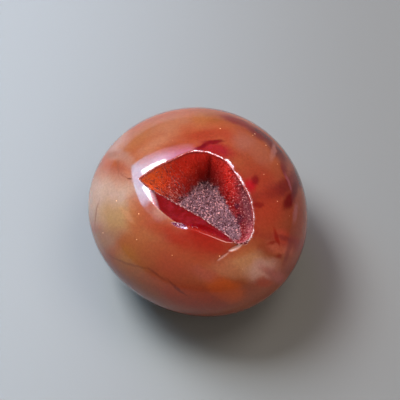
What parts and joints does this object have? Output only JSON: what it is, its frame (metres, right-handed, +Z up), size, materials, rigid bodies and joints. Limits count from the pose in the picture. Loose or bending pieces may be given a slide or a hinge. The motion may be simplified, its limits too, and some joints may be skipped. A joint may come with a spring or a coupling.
{
  "type": "polished carnelian",
  "caption": "Rounded, slightly flattened polished stone that rests on a small flat spot, with an open pocket in its top that is lined with fine crystals.",
  "frame": {"origin": "middle of the small flat spot that the stone rests on", "axes": "+Z up, out of the top where the pocket opens; -Y is the side of the pocket's long straight edge; +X is the pocket's wide end"},
  "size_m": [0.0592, 0.0607, 0.0389],
  "materials": {
    "carnelian": "polished",
    "quartz_crystals": "satin"
  },
  "bodies": {
    "root": {"polished_stone": "carnelian", "crystal_lining": "quartz_crystals"}
  },
  "joints": []
}
